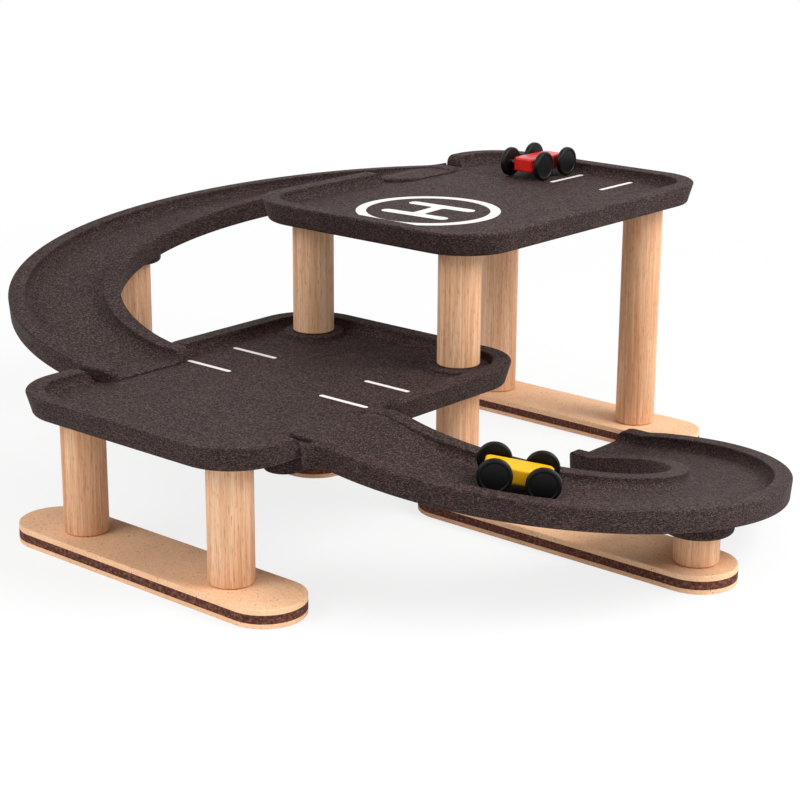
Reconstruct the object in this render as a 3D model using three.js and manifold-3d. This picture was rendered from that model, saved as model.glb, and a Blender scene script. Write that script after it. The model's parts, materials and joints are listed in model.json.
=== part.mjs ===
// Toy parking garage: two composite decks on wooden columns, joined by two U-turn ramps, with two small cars.
// Millimetres, +Z up. The origin is on the ground at the plan centre of the object. X runs along the foot
// boards and Y runs from the lower deck to the upper one. But for its end, a half turn about Z maps one ramp
// onto the other.
import * as THREE from "three";
import { mergeVertices } from "three/addons/utils/BufferGeometryUtils.js";
import Module from "manifold-3d";

// Fits
const seatGap = 0.3;
const glueGap = 0.1;
const sideGap = 0.4;
const boreGap = 0.3;
const cutOver = 2;

// Columns
const columnSpacingX = 160;
const columnRadius = 17.5;
const columnChamfer = 1.2;
const storeyColumn = 96.3;

// Foot boards
const boardWidth = 62.4;
const boardRampGap = 7.2;
const gridBoardOverhang = 65;
const rampBoardOverhang = 32;
const bottomPly = 3.8;
const corePly = 6.5;
const topPly = 4.5;

// Decks
const deckCorner = 50;
const deckPlate = 9;
const deckDraft = 4;
const deckBottomRound = 3;
const seatRingMargin = 8.5;
const seatRingToSideRim = 6.5;
const seatRingToEndRim = 1.5;
const seatRingHeight = 3.9;
const seatRingRound = 1.5;
const lugRadius = 15.5;
const lugHeight = 16.5;
const lugToDeckEdge = 31;
const lugInRampEdge = 2.1;

// Rim and tray section, shared by the decks and the ramps
const rimWidth = 14.5;
const coveRun = 7;
const trayDepth = 9.5;
const rimEdgeRound = 1.6;
const rimEndRound = 8;

// Ramps
const turnCentreOut = 9.5;
const turnRadius = 174;
const rampHalfWidth = 47.6;
const rampHeight = 18.5;
const rampDraft = 1.2;
const rampBottomRound = 2.5;
const tongueReach = 30;
const tongueThickness = 1.2;
const tongueCorner = 13;
const tongueStartCorner = 30;
const wallTipRound = 8;
const toeRound = 8.5;
const startFlare = 14;
const mouthWall = 1.6;
const mouthRun = 76;
const startLevelRun = 25;
const endLevelRun = 26;
const rampBossRadius = 27.5;
const rampBossOut = 1.5;
const rampBossDrop = 14.5;
const rampBossSkin = 3;
const rampBossRound = 3;

// Dowels and screws
const dowelRadius = 6;
const dowelChamfer = 0.8;
const dowelInColumn = 8;
const dowelInPlate = 6;
const dowelInBoss = 8;
const longDowelInColumn = 16;
const dowelEndGap = 0.5;
const screwShankRadius = 2;
const screwHeadRadius = 4.6;
const screwHeadHeight = 2.8;
const screwHeadSink = 0.6;
const screwInColumn = 9;
const screwTipLength = 3;
const screwRecessRadius = 2.1;
const screwRecessDepth = 1.2;

// Cars
const carLength = 50;
const carWidth = 23;
const carHeight = 12.5;
const carClearance = 6.3;
const carCorner = 5;
const carEdgeRound = 2;
const axleToCarEnd = 7.5;
const wheelRadius = 13;
const wheelWidth = 5;
const wheelBodyGap = 4.8;
const wheelEdgeRound = 1.6;
const wheelDish = 0.5;
const axleRadius = 2;
const axleInWheel = 2.6;
const axleBoreGap = 0.25;
const hubBoreGap = 0.05;

// Places of the cars
const deckWheelGap = 0.3;
const rampWheelGap = 0.9;
const redCarX = -30;
const yellowCarAngle = THREE.MathUtils.degToRad(-52);

// Facets
const columnFacets = 24;
const boreFacets = 12;
const bossFacets = 28;
const wheelFacets = 20;
const cornerFacets = 6;
const boardEndFacets = 12;
const turnSteps = 40;
const roundSteps = 2;
const coveSteps = 3;

const wasm = await Module();
wasm.setup();
const model = new THREE.Group();
model.name = "toy_parking_garage";

// Plan places that follow from the ramps, the columns and their seats
const seatRingRadius = columnRadius + seatRingMargin;
const deckSideOverhang = seatRingRadius + seatRingToSideRim + rimWidth;
const deckEndOverhang = seatRingRadius + seatRingToEndRim + rimWidth;
const columnSpacingY = turnRadius + rampHalfWidth + boardRampGap + boardWidth / 2;
const deckWidth = columnSpacingX + 2 * deckSideOverhang;
const deckLength = columnSpacingY + 2 * deckEndOverhang;
const deckShift = columnSpacingY / 2;
const gridX = columnSpacingX / 2;
const deckEdgeX = deckWidth / 2;
const tongueTipX = deckEdgeX - tongueReach;
const turnCentreX = deckEdgeX + turnCentreOut;
const rampColumnX = turnCentreX + turnRadius + rampBossOut;
const lugX = deckEdgeX - lugToDeckEdge;
const lugY = turnRadius + rampHalfWidth - lugInRampEdge;

// The cars' wheels stand clear of the body, and the red car's stand against the upper deck's back cove
const carTrack = carWidth + 2 * wheelBodyGap + wheelWidth;
const carWheelbase = carLength - 2 * axleToCarEnd;
const redCarToBack = rimWidth + coveRun + carWheelbase / 2 + wheelRadius;
const redCarY = columnSpacingY + deckEndOverhang - redCarToBack;

// Levels that follow from the stack of boards, columns and plates
const boardThickness = bottomPly + glueGap + corePly + glueGap + topPly;
const columnFoot = boardThickness + seatGap;
const lowerDeckBottom = columnFoot + storeyColumn + seatGap;
const lowerFloor = lowerDeckBottom + deckPlate;
const upperColumnFoot = lowerFloor + seatRingHeight + seatGap;
const upperDeckBottom = upperColumnFoot + storeyColumn + seatGap;
const upperFloor = upperDeckBottom + deckPlate;
const storeyRise = upperDeckBottom - lowerDeckBottom;
const tongueTop = seatGap + tongueThickness;
const endFloor = lowerFloor - storeyRise;

const finishes = {
  composite: { color: 0x3b3531, roughness: 0.85, metalness: 0 },
  beech: { color: 0xd9b38c, roughness: 0.6, metalness: 0 },
  fibreboard: { color: 0xc9a583, roughness: 0.8, metalness: 0 },
  darkCore: { color: 0x4a3229, roughness: 0.85, metalness: 0 },
  steel: { color: 0x9a9a9a, roughness: 0.35, metalness: 1 },
  blackPaint: { color: 0x141414, roughness: 0.3, metalness: 0 },
  redPaint: { color: 0xc4201c, roughness: 0.3, metalness: 0 },
  yellowPaint: { color: 0xf0b818, roughness: 0.3, metalness: 0 },
};

// Helpers: solids for cutting and joining

function toSolid(geometry) {
  const bare = geometry.clone();
  bare.deleteAttribute("normal");
  bare.deleteAttribute("uv");
  const merged = mergeVertices(bare);
  const triVerts = Uint32Array.from(merged.index.array);
  const vertProperties = Float32Array.from(merged.attributes.position.array);
  return new wasm.Manifold(new wasm.Mesh({ numProp: 3, vertProperties, triVerts }));
}

function toGeometry(solid) {
  const mesh = solid.getMesh();
  const geometry = new THREE.BufferGeometry();
  geometry.setAttribute("position", new THREE.BufferAttribute(mesh.vertProperties, 3));
  geometry.setIndex(new THREE.BufferAttribute(mesh.triVerts, 1));
  geometry.computeVertexNormals();
  return geometry;
}

function cutAndJoin(base, cuts, joins = []) {
  let solid = toSolid(base);
  for (const piece of joins) {
    solid = solid.add(toSolid(piece));
  }
  for (const piece of cuts) {
    solid = solid.subtract(toSolid(piece));
  }
  return toGeometry(solid);
}

function place(name, geometry, finish, parent = model) {
  const mesh = new THREE.Mesh(geometry, new THREE.MeshStandardMaterial(finishes[finish]));
  mesh.name = name;
  parent.add(mesh);
  return mesh;
}

// Helpers: profiles

// Points of an arc from angle a to angle b, in quarter turns, both ends included.
function arc(cx, cy, radius, a, b, steps = roundSteps) {
  const points = [];
  for (let i = 0; i <= steps; i += 1) {
    const turn = ((a + ((b - a) * i) / steps) * Math.PI) / 2;
    points.push(new THREE.Vector2(cx + radius * Math.cos(turn), cy + radius * Math.sin(turn)));
  }
  return points;
}

// A solid of revolution about Z from points (radius, height) that run upwards from axis to axis.
function turned(points, facets) {
  const geometry = new THREE.LatheGeometry(points, facets);
  return geometry.rotateX(Math.PI / 2);
}

function rod(radius, z0, z1, facets, x = 0, y = 0) {
  const points = [
    new THREE.Vector2(0, z0),
    new THREE.Vector2(radius, z0),
    new THREE.Vector2(radius, z1),
    new THREE.Vector2(0, z1),
  ];
  return turned(points, facets).translate(x, y, 0);
}

function chamferedRod(radius, chamfer, z0, z1, facets) {
  const points = [
    new THREE.Vector2(0, z0),
    new THREE.Vector2(radius - chamfer, z0),
    new THREE.Vector2(radius, z0 + chamfer),
    new THREE.Vector2(radius, z1 - chamfer),
    new THREE.Vector2(radius - chamfer, z1),
    new THREE.Vector2(0, z1),
  ];
  return turned(points, facets);
}

// A boss that hangs down: a rod with its lower edge rounded.
function hangingBoss(radius, round, z0, z1, x, y) {
  const edge = arc(radius - round, z0 + round, round, -1, 0);
  const points = [new THREE.Vector2(0, z0), ...edge, new THREE.Vector2(radius, z1), new THREE.Vector2(0, z1)];
  return turned(points, bossFacets).translate(x, y, 0);
}

function block(x0, x1, y0, y1, z0, z1) {
  const geometry = new THREE.BoxGeometry(x1 - x0, y1 - y0, z1 - z0);
  return geometry.translate((x0 + x1) / 2, (y0 + y1) / 2, (z0 + z1) / 2);
}

function extrudeUp(points, z0, height) {
  const options = { depth: height, bevelEnabled: false };
  return new THREE.ExtrudeGeometry(new THREE.Shape(points), options).translate(0, 0, z0);
}

// A closed skin through rings of equal length. The outline gives the flat shape that triangulates the caps.
function loft(rings, outline) {
  const count = outline.length;
  const positions = [];
  const faces = [];
  for (const ring of rings) {
    for (const p of ring) {
      positions.push(p.x, p.y, p.z);
    }
  }
  for (let k = 0; k + 1 < rings.length; k += 1) {
    for (let i = 0; i < count; i += 1) {
      const a = k * count + i;
      const b = k * count + ((i + 1) % count);
      faces.push(a, b, b + count, a, b + count, a + count);
    }
  }
  const last = (rings.length - 1) * count;
  for (const [a, b, c] of THREE.ShapeUtils.triangulateShape(outline, [])) {
    faces.push(a, c, b, last + a, last + b, last + c);
  }
  const geometry = new THREE.BufferGeometry();
  geometry.setAttribute("position", new THREE.Float32BufferAttribute(positions, 3));
  geometry.setIndex(faces);
  return geometry;
}

// Decks

function roundedOutline(width, length, corner) {
  const x = width / 2 - corner;
  const y = length / 2 - corner;
  return [
    ...arc(x, -y, corner, -1, 0, cornerFacets),
    ...arc(x, y, corner, 0, 1, cornerFacets),
    ...arc(-x, y, corner, 1, 2, cornerFacets),
    ...arc(-x, -y, corner, 2, 3, cornerFacets),
  ];
}

// The tray's section as (inset from the edge, height over the underside), from below to the floor.
function deckSection() {
  const rimTop = deckPlate + trayDepth;
  const inner = rimWidth + coveRun;
  return [
    ...arc(deckDraft + deckBottomRound, deckBottomRound, deckBottomRound, -1, -2),
    ...arc(rimEdgeRound, rimTop - rimEdgeRound, rimEdgeRound, 2, 1),
    new THREE.Vector2(rimWidth, rimTop),
    ...arc(inner, deckPlate + coveRun, coveRun, 2, 3, coveSteps),
  ];
}

function deckTray(z0) {
  const rings = [];
  for (const { x: inset, y: height } of deckSection()) {
    const corner = Math.max(deckCorner - inset, rimEdgeRound);
    const outline = roundedOutline(deckWidth - 2 * inset, deckLength - 2 * inset, corner);
    rings.push(outline.map((p) => new THREE.Vector3(p.x, p.y, z0 + height)));
  }
  return loft(rings, roundedOutline(deckWidth, deckLength, deckCorner));
}

// The gap in a rim for a ramp, from the deck's edge to past the cove. Its sides flare in a round at the top.
// The two widenings are for a ramp's flare, towards -Y and towards +Y.
function mouthCut(side, floor, widenBack = 0, widenOn = 0) {
  const half = rampHalfWidth + sideGap;
  const low = -half - widenBack;
  const high = half + widenOn;
  const round = Math.min(rimEndRound, trayDepth);
  const straight = trayDepth - round;
  const reach = rimWidth + coveRun + cutOver;
  const outline = [
    new THREE.Vector2(low, 0),
    new THREE.Vector2(high, 0),
    ...arc(high + round, straight, round, 2, 1),
    new THREE.Vector2(high + round, trayDepth + cutOver),
    new THREE.Vector2(low - round, trayDepth + cutOver),
    ...arc(low - round, straight, round, 1, 0),
  ];
  const geometry = extrudeUp(outline, 0, reach + cutOver);
  geometry.rotateX(Math.PI / 2).rotateZ(Math.PI / 2);
  const start = side > 0 ? deckEdgeX - reach : -deckEdgeX - cutOver;
  return geometry.translate(start, 0, floor);
}

function seatRing(x, y, floor) {
  const top = floor + seatRingHeight;
  const points = [
    new THREE.Vector2(0, floor - deckPlate / 2),
    new THREE.Vector2(seatRingRadius, floor - deckPlate / 2),
    ...arc(seatRingRadius - seatRingRound, top - seatRingRound, seatRingRound, 0, 1),
    new THREE.Vector2(0, top),
  ];
  return turned(points, bossFacets).translate(x, y, 0);
}

function dowelSocket(x, y, bottom, depth) {
  const radius = dowelRadius + boreGap;
  return rod(radius, bottom - cutOver, bottom + depth + dowelEndGap, boreFacets, x, y);
}

// The lug that hangs from a deck beside its ramp's mouth.
function lug(deckBottom, x, y) {
  return hangingBoss(lugRadius, seatRingRound, deckBottom - lugHeight, deckBottom + deckPlate / 2, x, y);
}

function lowerDeck() {
  const tray = deckTray(lowerDeckBottom).translate(0, -deckShift, 0);
  const joins = [lug(lowerDeckBottom, lugX, -lugY)];
  const cuts = [
    mouthCut(-1, lowerFloor).translate(0, -turnRadius, 0),
    mouthCut(1, lowerFloor, startFlare).translate(0, -turnRadius, 0),
  ];
  for (const side of [-1, 1]) {
    joins.push(seatRing(side * gridX, 0, lowerFloor));
    cuts.push(dowelSocket(side * gridX, -columnSpacingY, lowerDeckBottom, dowelInPlate));
    const through = deckPlate + seatRingHeight + cutOver;
    cuts.push(dowelSocket(side * gridX, 0, lowerDeckBottom, through));
  }
  place("lower_deck", cutAndJoin(tray, cuts, joins), "composite");
}

function upperDeck() {
  const tray = deckTray(upperDeckBottom).translate(0, deckShift, 0);
  const joins = [lug(upperDeckBottom, -lugX, lugY)];
  const cuts = [mouthCut(-1, upperFloor, 0, startFlare).translate(0, turnRadius, 0)];
  for (const side of [-1, 1]) {
    for (const row of [0, columnSpacingY]) {
      cuts.push(dowelSocket(side * gridX, row, upperDeckBottom, dowelInPlate));
    }
  }
  place("upper_deck", cutAndJoin(tray, cuts, joins), "composite");
}

// Ramps, in the place of the lower one. A station is a distance along the centreline from the start tip.

const legRun = turnCentreX - tongueTipX;
const turnRun = Math.PI * turnRadius;
const rampRun = legRun + turnRun + legRun;
const rimStart = lowerFloor + tongueTop + mouthWall;
const rimEnd = endFloor + tongueTop + trayDepth;
const rimSlope = (rimStart - rimEnd) / (rampRun - startLevelRun - endLevelRun);

// Plan place and outward direction at a station.
function track(station) {
  if (station < legRun) {
    return { x: tongueTipX + station, y: -turnRadius, nx: 0, ny: -1 };
  }
  if (station > legRun + turnRun) {
    return { x: turnCentreX - (station - legRun - turnRun), y: turnRadius, nx: 0, ny: 1 };
  }
  const angle = -Math.PI / 2 + (station - legRun) / turnRadius;
  const nx = Math.cos(angle);
  const ny = Math.sin(angle);
  return { x: turnCentreX + turnRadius * nx, y: turnRadius * ny, nx, ny };
}

// The rims run level at both ends and fall evenly between them.
function rimLine(station) {
  const fall = THREE.MathUtils.clamp(station - startLevelRun, 0, rampRun - startLevelRun - endLevelRun);
  return rimStart - rimSlope * fall;
}

// The trough deepens over the mouth from the deck's level to its full depth.
function floorLine(station) {
  const deepen = THREE.MathUtils.smoothstep(station, tongueReach, tongueReach + mouthRun);
  const wall = mouthWall + (trayDepth - mouthWall) * deepen;
  return Math.max(rimLine(station) - wall, endFloor + tongueTop);
}

// Each wall rises in a round from either tip.
function wallTop(station) {
  const share = THREE.MathUtils.clamp(Math.min(station, rampRun - station) / wallTipRound, 0, 1);
  const rise = Math.sqrt(1 - (1 - share) ** 2);
  const floor = floorLine(station);
  return floor + (rimLine(station) - floor) * rise;
}

// From the end back to the start, so that a skin through the rings faces out.
function stations() {
  const list = [0];
  for (let i = 1; i <= cornerFacets; i += 1) {
    const turn = (i * Math.PI) / 2 / cornerFacets;
    list.push(wallTipRound * (1 - Math.cos(turn)));
  }
  list.push(startLevelRun);
  const first = list.length;
  for (let i = 0; i <= turnSteps; i += 1) {
    list.push(legRun + (turnRun * i) / turnSteps);
  }
  for (let i = first - 1; i >= 0; i -= 1) {
    list.push(rampRun - (list[i] * endLevelRun) / startLevelRun);
  }
  list.push(tongueReach);
  return [...new Set(list)].sort((a, b) => b - a);
}

// Half of the section from the bottom's middle to the floor's middle, as (offset, height) at a station.
function rampHalfSection(station) {
  const top = wallTop(station);
  const floor = floorLine(station);
  const bottom = rimLine(station) - rampHeight;
  const wall = top - floor;
  const edge = Math.min(rimEdgeRound, wall);
  const cove = Math.min(coveRun, wall);
  const foot = rampHalfWidth - rampDraft;
  const innerEdge = rampHalfWidth - rimWidth;
  const coveArc = arc(innerEdge - coveRun, floor + cove, 1, 0, -1, coveSteps).map((p) => {
    const x = innerEdge - coveRun + (p.x - innerEdge + coveRun) * coveRun;
    return new THREE.Vector2(x, floor + cove + (p.y - floor - cove) * cove);
  });
  return [
    ...arc(foot - rampBottomRound, bottom + rampBottomRound, rampBottomRound, -1, 0),
    new THREE.Vector2(rampHalfWidth, top - edge),
    new THREE.Vector2(rampHalfWidth - rimEdgeRound, top),
    new THREE.Vector2(innerEdge, top),
    ...coveArc,
  ];
}

function ringAt(station, section) {
  const { x, y, nx, ny } = track(station);
  return section.map((p) => new THREE.Vector3(x + nx * p.x, y + ny * p.x, p.y));
}

function rampBody() {
  const list = stations();
  const section = (station) => {
    const half = rampHalfSection(station);
    const other = half.map((p) => new THREE.Vector2(-p.x, p.y)).reverse();
    return [...half, ...other];
  };
  const rings = list.map((station) => ringAt(station, section(station)));
  return loft(rings, section(rampRun / 2));
}

// The space from just under the floor's surface upwards, which trims the boss's top to the slope.
function spaceOverFloor() {
  const list = stations().filter((s) => Math.abs(s - rampRun / 2) < rampBossRadius * 2);
  const section = (station) => {
    const floor = floorLine(station) - rampBossSkin;
    const half = rampHalfWidth;
    return [
      new THREE.Vector2(-half, floor),
      new THREE.Vector2(half, floor),
      new THREE.Vector2(half, floor + storeyRise),
      new THREE.Vector2(-half, floor + storeyRise),
    ];
  };
  const rings = list.map((station) => ringAt(station, section(station)));
  return loft(rings, section(rampRun / 2));
}

// The flare beside the start of a ramp, which fills the corner between the deck's edge and the outer wall.
function startFillet() {
  const start = tongueReach + seatGap;
  const rings = [];
  const section = (station, width) => {
    const top = rimLine(station);
    const bottom = top - rampHeight;
    const inside = rampHalfWidth - rimWidth / 2;
    const outside = rampHalfWidth + width;
    return [
      new THREE.Vector2(inside, bottom + rampBottomRound),
      new THREE.Vector2(outside - rampDraft, bottom + rampBottomRound),
      new THREE.Vector2(outside, top - rimEdgeRound),
      new THREE.Vector2(outside - rimEdgeRound, top),
      new THREE.Vector2(inside, top),
    ];
  };
  for (const { x: along, y: width } of arc(startFlare, startFlare, startFlare, -1, -2, cornerFacets)) {
    rings.push(ringAt(start + along, section(start + along, width)));
  }
  return loft(rings, section(start, startFlare));
}

// The space under a tongue, where the deck's floor is.
function tongueNotch(leg, floor) {
  const side = rampHalfWidth + cutOver;
  const low = endFloor - 2 * rampHeight;
  return block(tongueTipX - cutOver, deckEdgeX + seatGap, leg - side, leg + side, low, floor + seatGap);
}

// The waste under a ramp's toe: a square along Y with a quarter round taken off.
function toeWaste() {
  const tip = tongueTipX;
  const low = rimEnd - rampHeight;
  const outline = [
    new THREE.Vector2(tip - cutOver, low - cutOver),
    new THREE.Vector2(tip + toeRound, low - cutOver),
    ...arc(tip + toeRound, low + toeRound, toeRound, -1, -2, cornerFacets),
    new THREE.Vector2(tip - cutOver, low + toeRound),
  ];
  const width = 2 * (rampHalfWidth + cutOver);
  return extrudeUp(outline, 0, width).rotateX(Math.PI / 2).translate(0, turnRadius + width / 2, 0);
}

// The waste at a tongue's corner: a square with a quarter round taken off.
function cornerWaste(side, leg, corner = tongueCorner) {
  const tip = tongueTipX;
  const edge = rampHalfWidth;
  const outline = [
    new THREE.Vector2(tip - cutOver, edge + cutOver),
    new THREE.Vector2(tip - cutOver, edge - corner),
    ...arc(tip + corner, edge - corner, corner, 2, 1, cornerFacets),
    new THREE.Vector2(tip + corner, edge + cutOver),
  ];
  const height = storeyRise + 2 * rampHeight;
  const geometry = extrudeUp(outline, 0, height);
  if (side < 0) {
    geometry.scale(1, -1, 1);
    geometry.setIndex(Array.from({ length: geometry.attributes.position.count }, (_, i) => i).reverse());
  }
  return geometry.translate(0, leg, endFloor - rampHeight);
}

function bossBottom() {
  return rimLine(rampRun / 2) - rampHeight - rampBossDrop;
}

// A ramp's end is either a tongue for a deck or a round toe over the ground.
function rampGeometry(endsOnDeck) {
  const z0 = bossBottom();
  const boss = toSolid(hangingBoss(rampBossRadius, rampBossRound, z0, lowerFloor, rampColumnX, 0));
  const trimmed = toGeometry(boss.subtract(toSolid(spaceOverFloor())));
  const body = rampBody();
  const cuts = [
    tongueNotch(-turnRadius, lowerFloor),
    endsOnDeck ? tongueNotch(turnRadius, endFloor) : toeWaste(),
    dowelSocket(rampColumnX, 0, z0, dowelInBoss),
    cornerWaste(1, -turnRadius, tongueStartCorner),
    cornerWaste(-1, -turnRadius),
    cornerWaste(1, turnRadius),
    cornerWaste(-1, turnRadius),
  ];
  return cutAndJoin(body, cuts, [trimmed, startFillet()]);
}

function ramps() {
  place("lower_ramp", rampGeometry(false), "composite");
  const upper = place("upper_ramp", rampGeometry(true), "composite");
  upper.rotation.z = Math.PI;
  upper.position.z = storeyRise;
}

// Foot boards: two skins and a dark core, with holes for the screws

function boardOutline(x0, x1) {
  const r = boardWidth / 2;
  return [...arc(x1 - r, 0, r, -1, 1, boardEndFacets), ...arc(x0 + r, 0, r, 1, 3, boardEndFacets)];
}

function footBoard(name, x0, x1, y, columns) {
  const outline = boardOutline(x0, x1);
  const layers = [
    ["bottom_ply", 0, bottomPly, "fibreboard"],
    ["core", bottomPly + glueGap, corePly, "darkCore"],
    ["top_ply", bottomPly + glueGap + corePly + glueGap, topPly, "fibreboard"],
  ];
  for (const [layer, z0, height, finish] of layers) {
    const cuts = [];
    for (const x of columns) {
      cuts.push(rod(screwShankRadius + boreGap, z0 - cutOver, z0 + height + cutOver, boreFacets, x, 0));
      if (z0 === 0) {
        const sink = turned(screwHeadProfile(boreGap), boreFacets);
        cuts.push(sink.translate(x, 0, 0));
      }
    }
    const geometry = cutAndJoin(extrudeUp(outline, z0, height), cuts).translate(0, y, 0);
    place(`${name}_${layer}`, geometry, finish);
  }
}

// The countersink, or with no clearance the head: a cone that opens downwards.
function screwHeadProfile(clearance) {
  const z0 = clearance > 0 ? -cutOver : screwHeadSink;
  return [
    new THREE.Vector2(0, z0),
    new THREE.Vector2(screwHeadRadius + clearance, z0),
    new THREE.Vector2(screwHeadRadius + clearance, screwHeadSink + clearance),
    new THREE.Vector2(screwShankRadius, screwHeadSink + screwHeadHeight + clearance),
    new THREE.Vector2(0, screwHeadSink + screwHeadHeight + clearance),
  ];
}

function screw(name, x, y) {
  const tip = columnFoot + screwInColumn;
  const points = [
    ...screwHeadProfile(0).slice(0, -1),
    new THREE.Vector2(screwShankRadius, tip - screwTipLength),
    new THREE.Vector2(0, tip),
  ];
  const top = screwHeadSink + screwRecessDepth;
  const recess = rod(screwRecessRadius, -cutOver, top, boreFacets / 2);
  place(name, cutAndJoin(turned(points, boreFacets), [recess]).translate(x, y, 0), "steel");
}

// Columns stand on the boards or on a seat ring, with a bore for a dowel or a screw at either end

function column(name, x, y, z0, z1, bottomBore, topBore) {
  const cuts = [];
  if (bottomBore === "screw") {
    const top = z0 + screwInColumn + dowelEndGap;
    cuts.push(rod(screwShankRadius + boreGap, z0 - cutOver, top, boreFacets));
  } else {
    cuts.push(rod(dowelRadius + boreGap, z0 - cutOver, z0 + bottomBore + dowelEndGap, boreFacets));
  }
  cuts.push(rod(dowelRadius + boreGap, z1 - topBore - dowelEndGap, z1 + cutOver, boreFacets));
  const body = chamferedRod(columnRadius, columnChamfer, z0, z1, columnFacets);
  place(name, cutAndJoin(body, cuts).translate(x, y, 0), "beech");
}

function dowel(name, x, y, z0, z1) {
  const body = chamferedRod(dowelRadius, dowelChamfer, z0, z1, boreFacets);
  place(name, body.translate(x, y, 0), "beech");
}

function columnsAndJoints() {
  const sides = [["left", -gridX], ["right", gridX]];
  const lowerTop = lowerDeckBottom - seatGap;
  const upperTop = upperDeckBottom - seatGap;
  const longDowelFoot = lowerTop - longDowelInColumn;
  const longDowelTop = upperColumnFoot + longDowelInColumn;
  const lowerDowelTop = lowerDeckBottom + dowelInPlate;
  const upperDowelTop = upperDeckBottom + dowelInPlate;
  for (const [side, x] of sides) {
    column(`column_front_${side}`, x, -columnSpacingY, columnFoot, lowerTop, "screw", dowelInColumn);
    column(`column_middle_${side}_lower`, x, 0, columnFoot, lowerTop, "screw", longDowelInColumn);
    column(`column_middle_${side}_upper`, x, 0, upperColumnFoot, upperTop, longDowelInColumn, dowelInColumn);
    column(`column_back_${side}`, x, columnSpacingY, columnFoot, upperTop, "screw", dowelInColumn);
    dowel(`dowel_front_${side}`, x, -columnSpacingY, lowerTop - dowelInColumn, lowerDowelTop);
    dowel(`dowel_middle_${side}_lower`, x, 0, longDowelFoot, longDowelTop);
    dowel(`dowel_middle_${side}_upper`, x, 0, upperTop - dowelInColumn, upperDowelTop);
    dowel(`dowel_back_${side}`, x, columnSpacingY, upperTop - dowelInColumn, upperDowelTop);
    for (const [row, y] of [["front", -columnSpacingY], ["middle", 0], ["back", columnSpacingY]]) {
      screw(`screw_${row}_${side}`, x, y);
    }
  }
  for (const [side, x, rise] of [["right", rampColumnX, 0], ["left", -rampColumnX, storeyRise]]) {
    const boss = bossBottom() + rise;
    const top = boss - seatGap;
    const depth = Math.min(dowelInColumn, (top - columnFoot) / 3);
    column(`column_ramp_${side}`, x, 0, columnFoot, top, "screw", depth);
    dowel(`dowel_ramp_${side}`, x, 0, top - depth, boss + dowelInBoss);
    screw(`screw_ramp_${side}`, x, 0);
  }
}

function footBoards() {
  const gridEnd = gridX + gridBoardOverhang;
  const rampEnd = rampColumnX + rampBoardOverhang;
  const rampStart = gridX - rampBoardOverhang;
  footBoard("foot_board_front", -gridEnd, gridEnd, -columnSpacingY, [-gridX, gridX]);
  footBoard("foot_board_right", rampStart, rampEnd, 0, [gridX, rampColumnX]);
  footBoard("foot_board_back", -gridEnd, gridEnd, columnSpacingY, [-gridX, gridX]);
  footBoard("foot_board_left", -rampEnd, -rampStart, 0, [-rampColumnX, -gridX]);
}

// Cars. A car's own frame has +Y forwards, +X to its right and the floor at zero.

function carBodyGeometry() {
  const bevel = { depth: carHeight - 2 * carEdgeRound, bevelEnabled: true, bevelThickness: carEdgeRound };
  Object.assign(bevel, { bevelSize: carEdgeRound, bevelOffset: -carEdgeRound, bevelSegments: roundSteps });
  const outline = roundedOutline(carWidth, carLength, carCorner);
  const body = new THREE.ExtrudeGeometry(new THREE.Shape(outline), bevel);
  body.translate(0, 0, carClearance + carEdgeRound);
  const cuts = [];
  for (const end of [-1, 1]) {
    const bore = rod(axleRadius + axleBoreGap, -carWidth, carWidth, boreFacets);
    cuts.push(bore.rotateY(Math.PI / 2).translate(0, (end * carWheelbase) / 2, wheelRadius));
  }
  return cutAndJoin(body, cuts);
}

// A wheel about Z with its outer face up, its middle plane at zero and a blind bore from below.
function wheelGeometry() {
  const half = wheelWidth / 2;
  const shoulder = wheelRadius - wheelEdgeRound;
  const points = [
    new THREE.Vector2(0, -half),
    ...arc(shoulder, wheelEdgeRound - half, wheelEdgeRound, -1, 0),
    ...arc(shoulder, half - wheelEdgeRound, wheelEdgeRound, 0, 1),
    new THREE.Vector2(shoulder - wheelEdgeRound, half - wheelDish),
    new THREE.Vector2(0, half - wheelDish),
  ];
  const depth = axleInWheel + hubBoreGap;
  const bore = rod(axleRadius + hubBoreGap, -half - cutOver, depth - half, boreFacets);
  return cutAndJoin(turned(points, wheelFacets), [bore]);
}

function car(name, paint) {
  const group = new THREE.Group();
  place(`${name}_body`, carBodyGeometry(), paint, group);
  for (const [end, y] of [["front", carWheelbase / 2], ["rear", -carWheelbase / 2]]) {
    const axleHalf = (carTrack - wheelWidth) / 2 + axleInWheel;
    const axle = rod(axleRadius, -axleHalf, axleHalf, boreFacets).rotateY(Math.PI / 2);
    place(`${name}_${end}_axle`, axle.translate(0, y, wheelRadius), "steel", group);
    for (const [side, sign] of [["left", -1], ["right", 1]]) {
      const wheel = place(`${name}_${end}_${side}_wheel`, wheelGeometry(), "blackPaint", group);
      wheel.rotation.y = (sign * Math.PI) / 2;
      wheel.position.set((sign * carTrack) / 2, y, wheelRadius);
    }
  }
  model.add(group);
  return group;
}

function cars() {
  const red = car("red_car", "redPaint");
  red.position.set(redCarX, redCarY, upperFloor + deckWheelGap);
  const yellow = car("yellow_car", "yellowPaint");
  const station = legRun + (yellowCarAngle + Math.PI / 2) * turnRadius;
  const { x, y, nx, ny } = track(station);
  const forward = new THREE.Vector3(-ny, nx, -rimSlope).normalize();
  const right = new THREE.Vector3(nx, ny, 0);
  const up = new THREE.Vector3().crossVectors(right, forward);
  const turn = new THREE.Matrix4().makeBasis(right, forward, up);
  yellow.quaternion.setFromRotationMatrix(turn);
  yellow.position.set(x, y, floorLine(station)).addScaledVector(up, rampWheelGap);
}

footBoards();
columnsAndJoints();
lowerDeck();
upperDeck();
ramps();
cars();

export default model;
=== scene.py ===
import json
import math

import bpy
import numpy as np
from mathutils import Matrix, Vector

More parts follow.
